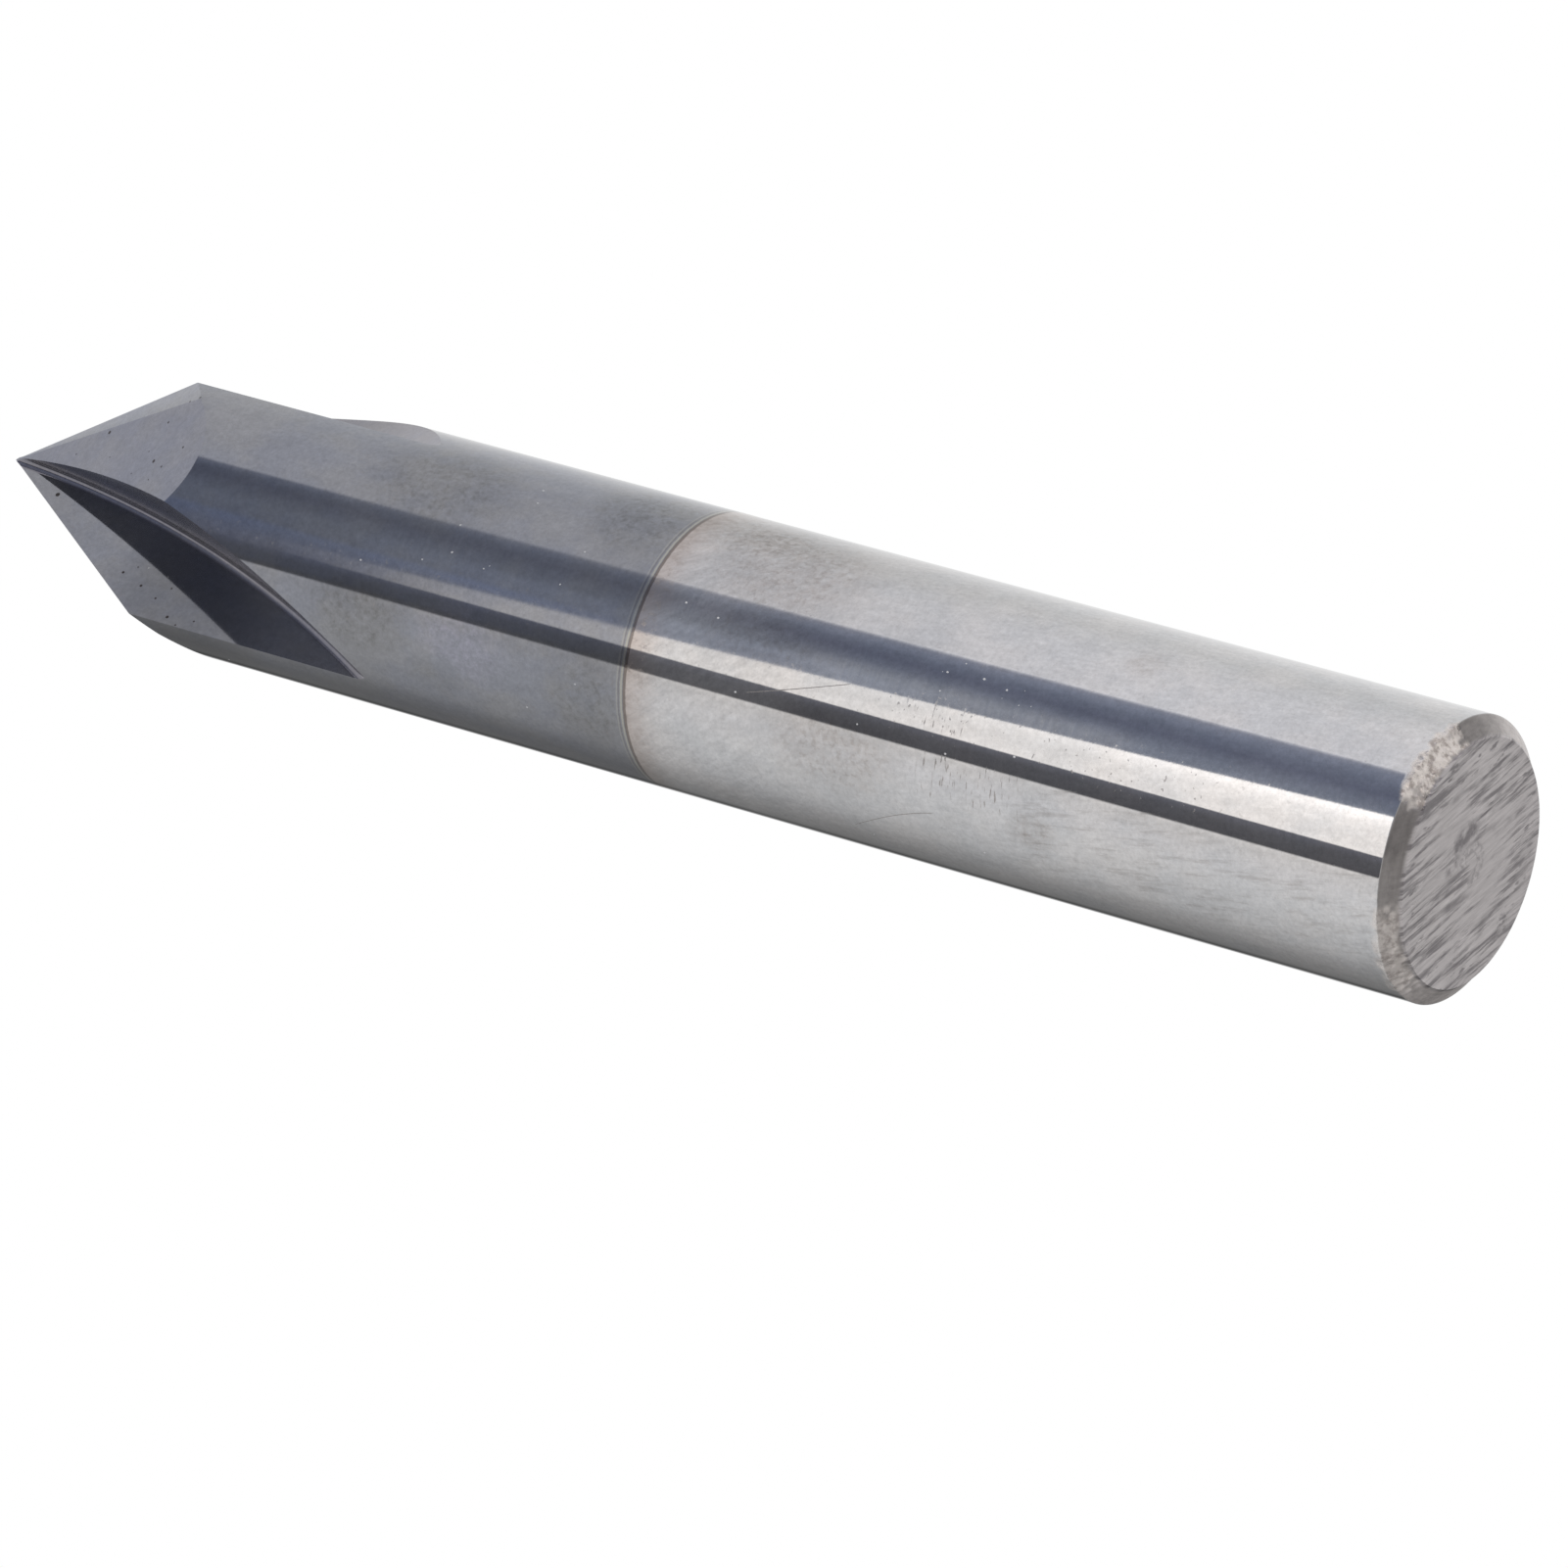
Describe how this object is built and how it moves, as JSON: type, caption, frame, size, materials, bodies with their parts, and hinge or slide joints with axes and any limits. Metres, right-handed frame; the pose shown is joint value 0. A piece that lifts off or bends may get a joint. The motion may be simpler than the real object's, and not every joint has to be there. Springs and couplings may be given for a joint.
{
  "type": "chamfer mill",
  "caption": "Straight round cutting tool with a pointed fluted tip for cutting chamfers, a dark coated head and a plain ground shank.",
  "frame": {"origin": "centre of the shank's flat end face, on the tool's axis", "axes": "+Z along the tool's axis from the shank end to the cutting point, +X through the first cutting edge; the tool stands upright on its shank end"},
  "size_m": [0.012, 0.012, 0.075],
  "materials": {
    "ground_carbide": "ground carbide, bare on the shank half and with a thin dark grey coating on the cutting half"
  },
  "bodies": {
    "root": {"chamfer_mill": "ground_carbide"}
  },
  "joints": []
}
